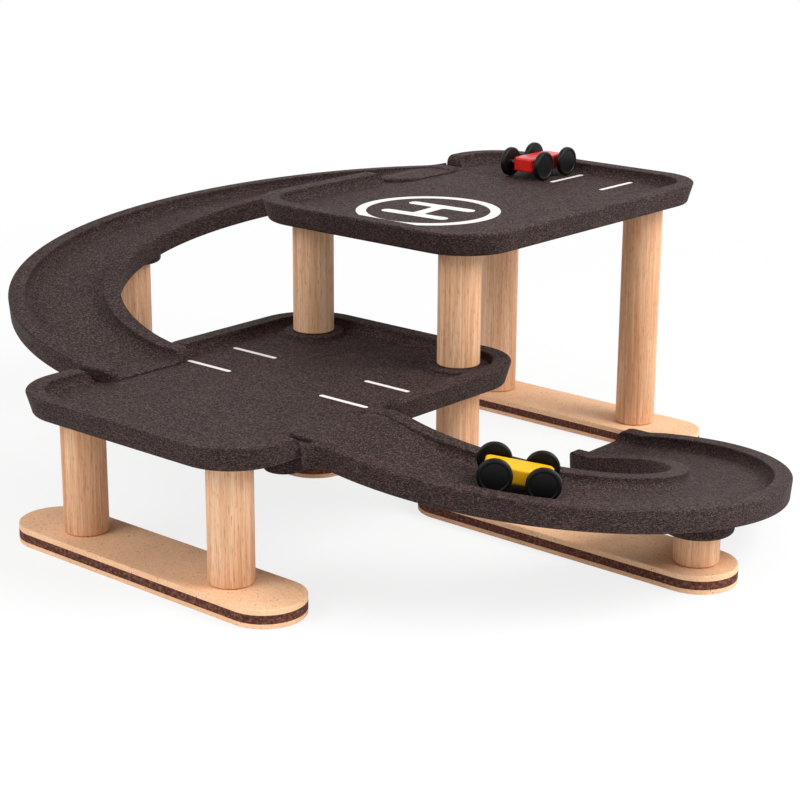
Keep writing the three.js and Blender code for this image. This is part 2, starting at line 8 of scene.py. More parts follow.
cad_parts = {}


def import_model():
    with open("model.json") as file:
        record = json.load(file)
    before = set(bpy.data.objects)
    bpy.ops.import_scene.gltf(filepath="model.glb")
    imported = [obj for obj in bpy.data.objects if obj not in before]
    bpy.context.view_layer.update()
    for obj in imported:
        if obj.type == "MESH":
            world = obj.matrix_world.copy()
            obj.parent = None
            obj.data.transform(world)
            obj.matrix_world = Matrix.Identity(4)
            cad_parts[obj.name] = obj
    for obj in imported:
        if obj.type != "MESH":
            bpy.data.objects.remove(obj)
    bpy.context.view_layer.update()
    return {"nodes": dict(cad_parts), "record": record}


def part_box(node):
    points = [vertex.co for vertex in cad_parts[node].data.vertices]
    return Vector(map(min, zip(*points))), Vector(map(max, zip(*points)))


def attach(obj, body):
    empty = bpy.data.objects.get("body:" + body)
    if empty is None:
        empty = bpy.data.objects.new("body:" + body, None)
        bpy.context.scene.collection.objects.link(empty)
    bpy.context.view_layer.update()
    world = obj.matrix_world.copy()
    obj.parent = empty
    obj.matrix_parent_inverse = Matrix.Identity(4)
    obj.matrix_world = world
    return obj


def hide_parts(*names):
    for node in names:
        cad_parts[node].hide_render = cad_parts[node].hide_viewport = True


MM = 0.001
QUARTER = math.pi / 2

# Fits
SEAT_GAP = 0.3
SIDE_GAP = 0.4
BORE_GAP = 0.3
END_GAP = 0.5
CUT_OVER = 2.0
JOIN_OVER = 1.0

# Column grid and columns
GRID_X = 80.0
GRID_Y = 260.0
RAMP_COLUMN_X = 312.0
COLUMN_RADIUS = 17.5
COLUMN_EDGE_ROUND = 1.3

# Foot boards
BOARD_RADIUS = 31.2
BOARD_EDGE_ROUND = 1.1
PLY_EDGE_ROUND = 0.25

# Decks
DECK_WIDTH = 254.0
DECK_LENGTH = 344.0
DECK_CORNER = 50.0
DECK_PLATE = 9.0
DECK_DRAFT = 4.0
DECK_BOTTOM_ROUND = 3.0
SEAT_RING_RADIUS = 26.0
SEAT_RING_HEIGHT = 3.9
SEAT_RING_ROUND = 1.5
SEAT_RING_FILLET = 2.0
LUG_RADIUS = 15.5
LUG_HEIGHT = 16.5
LUG_X = 96.0
LUG_Y = 219.5

# Rim and tray section, shared by the decks and the ramps
RIM_WIDTH = 14.5
RIM_EDGE_ROUND = 1.6
RIM_INNER_ROUND = 1.1
RIM_END_ROUND = 8.0
COVE_RUN = 7.0
TRAY_DEPTH = 9.5

# Ramps
TURN_CENTRE_X = 136.5
TURN_RADIUS = 174.0
RAMP_HALF_WIDTH = 47.6
RAMP_HEIGHT = 18.5
RAMP_DRAFT = 1.2
RAMP_BOTTOM_ROUND = 2.5
TONGUE_REACH = 30.0
TONGUE_THICKNESS = 1.2
TONGUE_CORNER = 13.0
TONGUE_START_CORNER = 30.0
TONGUE_TIP_ROUND = 0.8
WALL_TIP_ROUND = 8.0
TOE_ROUND = 8.5
START_FLARE = 14.0
MOUTH_WALL = 1.6
MOUTH_RUN = 76.0
START_LEVEL_RUN = 25.0
END_LEVEL_RUN = 26.0
RAMP_BOSS_RADIUS = 27.5
RAMP_BOSS_DROP = 14.5
RAMP_BOSS_ROUND = 3.0

# Dowels and screws
DOWEL_RADIUS = 6.0
DOWEL_IN_COLUMN = 8.0
DOWEL_IN_PLATE = 6.0
DOWEL_IN_BOSS = 8.0
LONG_DOWEL_IN_COLUMN = 16.0
SCREW_RADIUS = 2.0
SCREW_HEAD_RADIUS = 4.6
SCREW_HEAD_HEIGHT = 2.8
SCREW_HEAD_SINK = 0.6
SCREW_IN_COLUMN = 9.0

# Cars
CAR_LENGTH = 50.0
CAR_WIDTH = 23.0
CAR_HEIGHT = 12.5
CAR_CLEARANCE = 6.3
CAR_CORNER = 5.0
CAR_EDGE_ROUND = 2.0
CAR_WHEELBASE = 35.0
CAR_TRACK = 37.6
WHEEL_RADIUS = 13.0
WHEEL_WIDTH = 5.0
WHEEL_EDGE_ROUND = 1.6
WHEEL_DISH = 0.5
WHEEL_DISH_ROUND = 0.9
WHEEL_DISH_STEPS = 4
AXLE_RADIUS = 2.0
AXLE_IN_WHEEL = 2.6
AXLE_BORE_GAP = 0.25
HUB_BORE_GAP = 0.05
RAMP_WHEEL_GAP = 0.9
YELLOW_CAR_ANGLE = math.radians(-52)

# Painted marks
PAINT_THICKNESS = 0.12
PAINT_LIFT = 0.03
PAD_CENTRE = (-1.6, 58.0)
PAD_OUTER_RADIUS = 61.0
PAD_INNER_RADIUS = 52.4
PAD_TURN = math.radians(4.6)
LETTER_LENGTH = 66.0
LETTER_SPACING = 39.9
LETTER_STROKE = 11.0
LETTER_BAR = 10.4
LETTER_FILLET = 3.0
BAY_LINE_LENGTH = 49.0
BAY_LINE_WIDTH = 4.2
LOWER_BAY_X = (-74.7, 72.3)
LOWER_BAY_Y = (-130.0, -77.5)
UPPER_BAY_X = (-1.5, 53.0)
UPPER_BAY_Y = 255.3

# Fineness
CORNER_STEPS = 20
ROUND_STEPS = 6
COVE_STEPS = 8
SIDE_STEP = 9.0
MOUTH_EDGE_SPLIT = 0.01
STATION_STEP = 3.0
TONGUE_STEP = 2.0
TIP_SHARES = (0, 0.12, 0.3, 0.6, 1)
RISE_STEPS = 12
RISE_STEPS_LEFT_OUT = 4
FLARE_STEPS = 12
STATION_SPARE = 1.0
STROKE_STEPS = 12
LATHE_STEPS = 72
BORE_STEPS = 32
SMOOTH_ANGLE = math.radians(38)

# Camera, fitted to the photograph
CAMERA_PLACE = (1.0389, -1.1929, 0.5616)
CAMERA_YAW = math.radians(40.556)
CAMERA_PITCH = math.radians(17.01)
CAMERA_ROLL = math.radians(0.35)
CAMERA_SENSOR = 36.0
CAMERA_LENS = 88.416
CAMERA_CLIP_START = 0.05
CAMERA_CLIP_END = 100.0

# Stage and light, in metres
WHITE = (1.0, 1.0, 1.0, 1.0)
FLOOR_COLOUR = (0.93, 0.93, 0.93, 1.0)
FLOOR_HALF = 14.0
FLOOR_CLEARANCE = 0.0002
FLOOR_GLOW_NEAR = 0.8
FLOOR_GLOW_FROM_SHARE = 0.35
FLOOR_GLOW_REACH = 1.3
KEY_PLACE = (1.35, 0.45, 1.25)
KEY_SIZE = 1.2
KEY_POWER = 30.0
FILL_PLACE = (-0.7, -2.0, 1.7)
FILL_SIZE = 1.8
FILL_POWER = 27.0
WORLD_STRENGTH = 0.54

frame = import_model()

lower_deck_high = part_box("lower_deck")[1].z / MM
upper_deck_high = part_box("upper_deck")[1].z / MM
lower_floor = lower_deck_high - TRAY_DEPTH
upper_floor = upper_deck_high - TRAY_DEPTH
storey_rise = upper_floor - lower_floor
tongue_top = SEAT_GAP + TONGUE_THICKNESS
end_floor = lower_floor - storey_rise
deck_edge_x = DECK_WIDTH / 2
tongue_tip_x = deck_edge_x - TONGUE_REACH


# Materials


def linear(red, green, blue):
    """A colour given as the 0 to 255 values of a screen, as Blender's linear colour."""
    channels = []
    for value in (red, green, blue):
        share = value / 255
        channels.append(share / 12.92 if share <= 0.04045 else ((share + 0.055) / 1.055) ** 2.4)
    return (*channels, 1.0)


class Finish:
    """A Principled material and the short calls that wire its nodes."""

    def __init__(self, name):
        self.material = bpy.data.materials.new(name)
        self.material.use_nodes = True
        self.nodes = self.material.node_tree.nodes
        self.links = self.material.node_tree.links
        self.nodes.clear()
        output = self.nodes.new("ShaderNodeOutputMaterial")
        self.shader = self.nodes.new("ShaderNodeBsdfPrincipled")
        self.links.new(self.shader.outputs["BSDF"], output.inputs["Surface"])

    def set(self, **values):
        for socket, value in values.items():
            self.shader.inputs[socket.replace("_", " ")].default_value = value

    def feed(self, socket, output):
        self.links.new(output, self.shader.inputs[socket])

    def place(self, scale=(1, 1, 1)):
        """The object's own coordinates in metres, stretched per axis."""
        coordinates = self.nodes.new("ShaderNodeTexCoord")
        mapping = self.nodes.new("ShaderNodeMapping")
        mapping.inputs["Scale"].default_value = scale
        self.links.new(coordinates.outputs["Object"], mapping.inputs["Vector"])
        return mapping.outputs["Vector"]

    def noise(self, vector, scale=1.0, detail=2.0, roughness=0.5, distortion=0.0):
        node = self.nodes.new("ShaderNodeTexNoise")
        node.inputs["Scale"].default_value = scale
        node.inputs["Detail"].default_value = detail
        node.inputs["Roughness"].default_value = roughness
        node.inputs["Distortion"].default_value = distortion
        self.links.new(vector, node.inputs["Vector"])
        return node.outputs["Fac"]

    def cells(self, vector, scale, output="Distance"):
        node = self.nodes.new("ShaderNodeTexVoronoi")
        node.inputs["Scale"].default_value = scale
        self.links.new(vector, node.inputs["Vector"])
        return node.outputs[output]

    def ramp(self, factor, *stops):
        """A colour ramp. Each stop is (position, colour), or (position, grey level)."""
        node = self.nodes.new("ShaderNodeValToRGB")
        elements = node.color_ramp.elements
        while len(elements) < len(stops):
            elements.new(1.0)
        for element, (position, colour) in zip(elements, stops):
            element.position = position
            element.color = colour if isinstance(colour, tuple) else (colour, colour, colour, 1.0)
        self.links.new(factor, node.inputs["Fac"])
        return node.outputs["Color"]

    def blend(self, factor, first, second, how="MIX"):
        """Two colours mixed. Each may be an output or a colour."""
        node = self.nodes.new("ShaderNodeMix")
        node.data_type = "RGBA"
        node.blend_type = how
        for socket, value in ((0, factor), (6, first), (7, second)):
            if isinstance(value, bpy.types.NodeSocket):
                self.links.new(value, node.inputs[socket])
            else:
                node.inputs[socket].default_value = value
        return node.outputs[2]

    def math(self, how, first, second):
        node = self.nodes.new("ShaderNodeMath")
        node.operation = how
        for socket, value in enumerate((first, second)):
            if isinstance(value, bpy.types.NodeSocket):
                self.links.new(value, node.inputs[socket])
            else:
                node.inputs[socket].default_value = value
        return node.outputs[0]

    def bump(self, height, strength, distance, under=None):
        node = self.nodes.new("ShaderNodeBump")
        node.inputs["Strength"].default_value = strength
        node.inputs["Distance"].default_value = distance
        self.links.new(height, node.inputs["Height"])
        if under is not None:
            self.links.new(under, node.inputs["Normal"])
        return node.outputs["Normal"]


def composite_finish():
    """Pressed wood dust: charcoal brown and matt, with fine light and dark grains that lie flat."""
    finish = Finish("composite")
    here = finish.place((1, 1, 2.2))
    clouds = finish.noise(here, scale=26, detail=3, roughness=0.6)
    grain = finish.cells(here, scale=1000, output="Color")
    base = finish.ramp(
        grain,
        (0.2, linear(24, 15, 14)),
        (0.42, linear(38, 27, 25)),
        (0.6, linear(51, 38, 36)),
        (0.82, linear(88, 69, 65)),
    )
    tint = finish.ramp(clouds, (0.35, linear(234, 224, 222)), (0.65, linear(255, 250, 248)))
    base = finish.blend(1.0, base, tint, "MULTIPLY")
    flecks = finish.ramp(finish.cells(here, scale=620), (0.16, 0.9), (0.3, 0.0))
    sparse = finish.ramp(finish.noise(here, scale=420, detail=2), (0.5, 0.0), (0.6, 0.6))
    base = finish.blend(finish.math("MULTIPLY", flecks, sparse), base, linear(110, 92, 87))
    finish.feed("Base Color", base)
    finish.feed("Roughness", finish.ramp(grain, (0.2, 0.84), (0.8, 0.68)))
    coarse = finish.bump(finish.noise(here, scale=240, detail=2), strength=0.3, distance=0.0005)
    finish.feed("Normal", finish.bump(grain, strength=0.45, distance=0.0004, under=coarse))
    finish.set(Specular_IOR_Level=0.24)
    return finish.material


def column_finish():
    """Pale hardwood with long grain along Z, streaks and short dark pores."""
    finish = Finish("column_wood")
    broad = finish.noise(finish.place((48, 48, 3.2)), detail=3, roughness=0.55, distortion=0.6)
    streaks = finish.noise(finish.place((330, 330, 9)), detail=4, roughness=0.65, distortion=0.3)
    tone = finish.math("ADD", finish.math("MULTIPLY", broad, 0.45), finish.math("MULTIPLY", streaks, 0.55))
    wood = finish.ramp(
        tone,
        (0.36, linear(202, 141, 99)),
        (0.46, linear(221, 169, 128)),
        (0.55, linear(233, 188, 150)),
        (0.66, linear(243, 207, 174)),
    )
    lines = finish.noise(finish.place((900, 900, 22)), detail=2, roughness=0.5)
    wood = finish.blend(finish.ramp(lines, (0.48, 0.0), (0.7, 0.55)), wood, linear(198, 136, 94))
    pores = finish.noise(finish.place((1500, 1500, 120)), detail=1, roughness=0.4)
    pore_share = finish.ramp(pores, (0.6, 0.0), (0.72, 0.6))
    wood = finish.blend(pore_share, wood, linear(160, 106, 72))
    finish.feed("Base Color", wood)
    finish.feed("Roughness", finish.ramp(streaks, (0.3, 0.5), (0.7, 0.62)))
    relief = finish.bump(lines, strength=0.12, distance=0.0003)
    finish.feed("Normal", finish.bump(pore_share, strength=-0.35, distance=0.0003, under=relief))
    finish.set(Specular_IOR_Level=0.35)
    return finish.material


def board_finish():
    """Fine pale fibre board with small dark specks."""
    finish = Finish("board_ply")
    here = finish.place()
    clouds = finish.noise(here, scale=22, detail=3)
    fibres = finish.noise(here, scale=700, detail=3, roughness=0.6)
    wood = finish.ramp(
        fibres, (0.34, linear(247, 190, 147)), (0.5, linear(252, 203, 161)), (0.66, linear(255, 216, 177))
    )
    tint = finish.ramp(clouds, (0.35, linear(244, 238, 232)), (0.65, 1.0))
    wood = finish.blend(1.0, wood, tint, "MULTIPLY")
    specks = finish.ramp(finish.cells(here, scale=330), (0.12, 1.0), (0.26, 0.0))
    some = finish.ramp(finish.noise(here, scale=170, detail=1), (0.5, 0.0), (0.58, 0.85))
    wood = finish.blend(finish.math("MULTIPLY", specks, some), wood, linear(168, 108, 76))
    finish.feed("Base Color", wood)
    finish.feed("Roughness", finish.ramp(fibres, (0.3, 0.72), (0.7, 0.6)))
    finish.feed("Normal", finish.bump(fibres, strength=0.2, distance=0.0003))
    finish.set(Specular_IOR_Level=0.35)
    return finish.material


def core_finish():
    """The dark layer of a foot board: coarse brown fibres with light flecks."""
    finish = Finish("board_core")
    here = finish.place()
    lumps = finish.noise(here, scale=420, detail=4, roughness=0.7)
    brown = finish.ramp(
        lumps, (0.34, linear(52, 23, 18)), (0.5, linear(90, 48, 38)), (0.66, linear(134, 88, 70))
    )
    flecks = finish.ramp(finish.cells(here, scale=380), (0.1, 0.7), (0.22, 0.0))
    some = finish.ramp(finish.noise(here, scale=200, detail=1), (0.5, 0.0), (0.62, 1.0))
    brown = finish.blend(finish.math("MULTIPLY", flecks, some), brown, linear(158, 124, 100))
    finish.feed("Base Color", brown)
    finish.set(Roughness=0.85, Specular_IOR_Level=0.3)
    finish.feed("Normal", finish.bump(lumps, strength=0.7, distance=0.0006))
    return finish.material


def paint_finish(name, deep, bright, roughness=0.24, gloss=0.4):
    """Gloss paint on wood, with faint thick and thin places and a slight orange peel."""
    finish = Finish(name)
    here = finish.place()
    coat = finish.noise(here, scale=90, detail=2)
    finish.feed("Base Color", finish.ramp(coat, (0.35, deep), (0.65, bright)))
    duller = roughness + 0.06
    finish.feed("Roughness", finish.ramp(coat, (0.3, duller), (0.7, roughness)))
    peel = finish.noise(here, scale=700, detail=1)
    finish.feed("Normal", finish.bump(peel, strength=0.05, distance=0.0002))
    finish.set(Specular_IOR_Level=gloss)
    return finish.material


def mark_finish():
    """White printed paint over the matt composite."""
    finish = Finish("white_paint")
    here = finish.place()
    cover = finish.noise(here, scale=900, detail=3, roughness=0.6)
    white = finish.ramp(cover, (0.3, linear(226, 218, 213)), (0.5, linear(242, 236, 231)))
    finish.feed("Base Color", white)
    finish.feed("Normal", finish.bump(cover, strength=0.15, distance=0.0002))
    finish.set(Roughness=0.6, Specular_IOR_Level=0.4)
    return finish.material


def steel_finish():
    """Drawn steel with fine scratches."""
    finish = Finish("steel")
    scratches = finish.noise(finish.place((1400, 1400, 90)), detail=3)
    grey = finish.ramp(scratches, (0.3, linear(178, 178, 180)), (0.7, linear(206, 206, 208)))
    finish.feed("Base Color", grey)
    finish.feed("Roughness", finish.ramp(scratches, (0.3, 0.38), (0.7, 0.26)))
    finish.set(Metallic=1.0)
    return finish.material


materials = {
    "deck_composite": composite_finish(),
    "column_wood": column_finish(),
    "board_ply": board_finish(),
    "board_core": core_finish(),
    "red_paint": paint_finish("red_paint", linear(204, 24, 18), linear(226, 36, 26)),
    "yellow_paint": paint_finish("yellow_paint", linear(244, 180, 4), linear(250, 192, 10)),
    "wheel_black": paint_finish(
        "wheel_black", linear(9, 9, 9), linear(14, 13, 13), roughness=0.36, gloss=0.2
    ),
    "steel": steel_finish(),
}
mark_material = mark_finish()


# Helpers: points and skins


def arc(cx, cy, radius, start, end, steps=ROUND_STEPS):
    """Points of an arc, as (across, up), between two angles in quarter turns, both ends included."""
    turn = np.linspace(start, end, steps + 1) * QUARTER
    return np.stack([cx + radius * np.cos(turn), cy + radius * np.sin(turn)], axis=1)


def oval(x, y, width, height, start, end, steps=ROUND_STEPS):
    """An arc of half width and half height."""
    return arc(0, 0, 1, start, end, steps) * (width, height) + (x, y)


def skin(rings):
    """A closed skin through rings of equal length that run anticlockwise and upwards, with flat ends."""
    rings = np.asarray(rings, float)
    rows, count = rings.shape[:2]
    grid = np.arange(rows * count).reshape(rows, count)
    onward = np.roll(grid, -1, axis=1)
    quads = np.stack([grid[:-1], onward[:-1], onward[1:], grid[1:]], axis=-1).reshape(-1, 4).tolist()
    quads.append(grid[0][::-1].tolist())
    quads.append(grid[-1].tolist())
    return rings.reshape(-1, 3), quads


def lathe(profile, x=0.0, y=0.0, steps=LATHE_STEPS):
    """A solid of revolution about Z from (radius, height) points that run upwards, with flat ends."""
    turn = np.arange(steps) / steps * 2 * math.pi
    rings = []
    for radius, height in np.asarray(profile, float):
        across, along = radius * np.cos(turn), radius * np.sin(turn)
        rings.append(np.stack([x + across, y + along, np.full(steps, height)], axis=1))
    return skin(rings)


def rod(radius, low, high, x=0.0, y=0.0):
    return lathe([(radius, low), (radius, high)], x, y, BORE_STEPS)


def raw_object(name, shape):
    points, faces = shape
    mesh = bpy.data.meshes.new(name)
    mesh.from_pydata((np.asarray(points) * MM).tolist(), [], faces)
    mesh.update()
    piece = bpy.data.objects.new(name, mesh)
    bpy.context.scene.collection.objects.link(piece)
    return piece


def combine(base, joins=(), cuts=()):
    """Joins other shapes to the base's mesh and cuts others from it."""
    tools = []
    for shapes, operation in ((joins, "UNION"), (cuts, "DIFFERENCE")):
        for shape in shapes:
            tool = raw_object("tool", shape)
            modifier = base.modifiers.new("combine", "BOOLEAN")
            modifier.solver = "EXACT"
            modifier.operation = operation
            modifier.object = tool
            tools.append(tool)
    bpy.context.view_layer.update()
    evaluated = base.evaluated_get(bpy.context.evaluated_depsgraph_get())
    mesh = bpy.data.meshes.new_from_object(evaluated)
    base.modifiers.clear()
    old = base.data
    base.data = mesh
    bpy.data.meshes.remove(old)
    for tool in tools:
        bpy.data.meshes.remove(tool.data)


def finish_piece(piece, material, body, node=None):
    """Smooths the piece, gives it its material, ties it to its body, and hides the frame node it stands in
    for.
    """
    piece.data.shade_smooth()
    piece.data.set_sharp_from_angle(angle=SMOOTH_ANGLE)
    weighted = piece.modifiers.new("weighted_normals", "WEIGHTED_NORMAL")
    weighted.keep_sharp = True
    piece.data.materials.clear()
    piece.data.materials.append(material)
    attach(piece, body)
    if node:
        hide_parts(node)


def stand_in_for(node, shape, slot, body="garage", joins=(), cuts=()):
    """A fine piece in the place of a frame node."""
    piece = raw_object(f"fine_{node}", shape)
    if joins or cuts:
        combine(piece, joins, cuts)
    finish_piece(piece, materials[slot], body, node)


# Decks


def even(start, end):
    """Places from one end to the other, about a side step apart."""
    count = max(1, round(abs(end - start) / SIDE_STEP))
    return np.linspace(start, end, count + 1)


def mouth_marks(low, high):
    """Places along a deck's side that a mouth's two ends need."""
    away = RIM_END_ROUND * (1 - np.cos(np.linspace(0, 1, 2 * ROUND_STEPS + 1) * QUARTER))
    away[0] += MOUTH_EDGE_SPLIT
    away = np.concatenate([[-MOUTH_EDGE_SPLIT], away])
    return np.concatenate([low - away[::-1], high + away])


def mouth_limit(y, low, high):
    """The height over the floor that a mouth leaves at a place along the side."""
    away = np.maximum(low - y, y - high)
    across = RIM_END_ROUND - np.clip(away, 0, RIM_END_ROUND)
    rise = TRAY_DEPTH - RIM_END_ROUND + np.sqrt(RIM_END_ROUND**2 - across**2)
    return np.where(away < 0, 0.0, rise)


def deck_outline(inset, marks):
    """The deck's outline at an inset, and for each point which long side it is on, 1, -1 or 0."""
    x = DECK_WIDTH / 2 - DECK_CORNER
    y = DECK_LENGTH / 2 - DECK_CORNER
    corner = DECK_CORNER - inset
    side_x = DECK_WIDTH / 2 - inset
    end_y = DECK_LENGTH / 2 - inset
    right = np.sort(np.concatenate([even(-y, y)[1:-1], marks[1]]))
    left = np.sort(np.concatenate([even(-y, y)[1:-1], marks[-1]]))[::-1]
    ends = even(-x, x)[1:-1]
    parts = [
        (arc(x, -y, corner, -1, 0, CORNER_STEPS), 0),
        (np.stack([np.full(len(right), side_x), right], axis=1), 1),
        (arc(x, y, corner, 0, 1, CORNER_STEPS), 0),
        (np.stack([ends[::-1], np.full(len(ends), end_y)], axis=1), 0),
        (arc(-x, y, corner, 1, 2, CORNER_STEPS), 0),
        (np.stack([np.full(len(left), -side_x), left], axis=1), -1),
        (arc(-x, -y, corner, 2, 3, CORNER_STEPS), 0),
        (np.stack([ends, np.full(len(ends), -end_y)], axis=1), 0),
    ]
    points = np.concatenate([part for part, _ in parts])
    sides = np.concatenate([np.full(len(part), side) for part, side in parts])
    return points, sides


def deck_section():
    """The tray's section as (inset, height over the underside), from below to the floor."""
    rim_top = DECK_PLATE + TRAY_DEPTH
    inner = RIM_WIDTH + COVE_RUN
    return np.concatenate(
        [
            arc(DECK_DRAFT + DECK_BOTTOM_ROUND, DECK_BOTTOM_ROUND, DECK_BOTTOM_ROUND, -1, -2),
            arc(RIM_EDGE_ROUND, rim_top - RIM_EDGE_ROUND, RIM_EDGE_ROUND, 2, 1),
            arc(RIM_WIDTH - RIM_INNER_ROUND, rim_top - RIM_INNER_ROUND, RIM_INNER_ROUND, 1, 0),
            arc(inner, DECK_PLATE + COVE_RUN, COVE_RUN, 2, 3, COVE_STEPS),
        ]
    )


def deck_tray(bottom, centre_y, mouths):
    """The tray with its mouths, which are given as (side, low end in Y, high end in Y)."""
    marks = {1: np.array([]), -1: np.array([])}
    for side, low, high in mouths:
        marks[side] = np.concatenate([marks[side], mouth_marks(low - centre_y, high - centre_y)])
    rings = []
    for inset, height in deck_section():
        points, sides = deck_outline(inset, marks)
        limit = np.full(len(points), DECK_PLATE + TRAY_DEPTH)
        for side, low, high in mouths:
            open_to = DECK_PLATE + mouth_limit(points[:, 1], low - centre_y, high - centre_y)
            limit = np.where(sides == side, np.minimum(limit, open_to), limit)
        levels = bottom + np.minimum(limit, height)
        rings.append(np.column_stack([points[:, 0], points[:, 1] + centre_y, levels]))
    return skin(rings)


def seat_ring(x, y):
    """A low round pad with a rounded rim and a fillet at its foot."""
    top = lower_floor + SEAT_RING_HEIGHT
    foot = SEAT_RING_RADIUS + SEAT_RING_FILLET
    profile = [
        (SEAT_RING_RADIUS, lower_floor - DECK_PLATE / 2),
        (foot, lower_floor - DECK_PLATE / 2),
        *arc(foot, lower_floor + SEAT_RING_FILLET, SEAT_RING_FILLET, 3, 2),
        *arc(SEAT_RING_RADIUS - SEAT_RING_ROUND, top - SEAT_RING_ROUND, SEAT_RING_ROUND, 0, 1),
    ]
    return lathe(profile, x, y)


def lug(bottom, x, y):
    """The short round lug that hangs under a deck."""
    low = bottom - LUG_HEIGHT
    edge = arc(LUG_RADIUS - SEAT_RING_ROUND, low + SEAT_RING_ROUND, SEAT_RING_ROUND, -1, 0)
    return lathe([*edge, (LUG_RADIUS, bottom + JOIN_OVER)], x, y)


def dowel_socket(x, y, bottom, depth):
    return rod(DOWEL_RADIUS + BORE_GAP, bottom - CUT_OVER, bottom + depth + END_GAP, x, y)


def decks():
    lower_bottom = lower_floor - DECK_PLATE
    upper_bottom = upper_floor - DECK_PLATE
    through = DECK_PLATE + SEAT_RING_HEIGHT + CUT_OVER
    near = TURN_RADIUS - RAMP_HALF_WIDTH - SIDE_GAP
    far = TURN_RADIUS + RAMP_HALF_WIDTH + SIDE_GAP
    joins = [lug(lower_bottom, LUG_X, -LUG_Y)]
    cuts = []
    for side in (-1, 1):
        joins.append(seat_ring(side * GRID_X, 0))
        cuts.append(dowel_socket(side * GRID_X, 0, lower_bottom, through))
        cuts.append(dowel_socket(side * GRID_X, -GRID_Y, lower_bottom, DOWEL_IN_PLATE))
    mouths = [(1, -far - START_FLARE, -near), (-1, -far, -near)]
    tray = deck_tray(lower_bottom, -GRID_Y / 2, mouths)
    stand_in_for("lower_deck", tray, "deck_composite", joins=joins, cuts=cuts)
    joins = [lug(upper_bottom, -LUG_X, LUG_Y)]
    cuts = []
    for side in (-1, 1):
        for y in (0, GRID_Y):
            cuts.append(dowel_socket(side * GRID_X, y, upper_bottom, DOWEL_IN_PLATE))
    tray = deck_tray(upper_bottom, GRID_Y / 2, [(-1, near, far + START_FLARE)])
    stand_in_for("upper_deck", tray, "deck_composite", joins=joins, cuts=cuts)


# Ramps, in the place of the lower one. A station is a distance along the centreline from the start tip.

leg_run = TURN_CENTRE_X - tongue_tip_x
turn_run = math.pi * TURN_RADIUS
ramp_run = 2 * leg_run + turn_run
rim_start = lower_floor + tongue_top + MOUTH_WALL
rim_end = end_floor + tongue_top + TRAY_DEPTH
rim_slope = (rim_start - rim_end) / (ramp_run - START_LEVEL_RUN - END_LEVEL_RUN)


def smooth_step(value, start, end):
    share = min(max((value - start) / (end - start), 0.0), 1.0)
    return share * share * (3 - 2 * share)


def track(station):
    """Plan place and outward direction at a station."""
    if station < leg_run:
        return tongue_tip_x + station, -TURN_RADIUS, 0.0, -1.0
    if station > leg_run + turn_run:
        return TURN_CENTRE_X - (station - leg_run - turn_run), TURN_RADIUS, 0.0, 1.0
    angle = -QUARTER + (station - leg_run) / TURN_RADIUS
    across, along = math.cos(angle), math.sin(angle)
    return TURN_CENTRE_X + TURN_RADIUS * across, TURN_RADIUS * along, across, along


def rim_line(station):
    fall = min(max(station - START_LEVEL_RUN, 0.0), ramp_run - START_LEVEL_RUN - END_LEVEL_RUN)
    return rim_start - rim_slope * fall


def floor_line(station):
    deepen = smooth_step(station, TONGUE_REACH, TONGUE_REACH + MOUTH_RUN)
    wall = MOUTH_WALL + (TRAY_DEPTH - MOUTH_WALL) * deepen
    return max(rim_line(station) - wall, end_floor + tongue_top)


def wall_top(station):
    share = min(min(station, ramp_run - station) / WALL_TIP_ROUND, 1.0)
    rise = math.sqrt(1 - (1 - share) ** 2)
    floor = floor_line(station)
    return floor + (rim_line(station) - floor) * rise


def tip_half_width(from_tip, corner):
    """The half width near a tip, which a round takes in at its corner."""
    short = max(corner - from_tip, 0.0)
    return RAMP_HALF_WIDTH - corner + math.sqrt(corner**2 - short**2)


def start_flare(station):
    """How far the outer wall flares where the ramp meets its upper deck's edge."""
    short = START_FLARE - (station - TONGUE_REACH - SEAT_GAP)
    return START_FLARE - math.sqrt(START_FLARE**2 - short**2) if 0 < short <= START_FLARE else 0.0


def toe_lift(station):
    """How far the round toe lifts the underside near the end."""
    short = max(TOE_ROUND - (ramp_run - station), 0.0)
    lift = TOE_ROUND - math.sqrt(TOE_ROUND**2 - short**2)
    return min(lift, TOE_ROUND - TONGUE_TIP_ROUND)


def shape_tip(half, station, outer_side):
    """Near a tip, takes a half section in at the round corner and lowers it at the rounded edge."""
    from_tip = min(station, ramp_run - station)
    rim_inside = RAMP_HALF_WIDTH - RIM_WIDTH
    if station < ramp_run / 2 and not outer_side:
        half[:, 0] *= tip_half_width(from_tip, TONGUE_START_CORNER) / RAMP_HALF_WIDTH
    elif from_tip < TONGUE_CORNER:
        rim_share = (tip_half_width(from_tip, TONGUE_CORNER) - rim_inside) / RIM_WIDTH
        beyond = np.maximum(half[:, 0] - rim_inside, 0)
        half[:, 0] = np.minimum(half[:, 0], rim_inside) + beyond * rim_share
    short = max(TONGUE_TIP_ROUND - from_tip, 0.0)
    drop = TONGUE_TIP_ROUND - math.sqrt(TONGUE_TIP_ROUND**2 - short**2)
    above = half[:, 1] > floor_line(station) - TONGUE_THICKNESS / 2
    half[:, 1] = np.where(above, half[:, 1] - drop, half[:, 1])


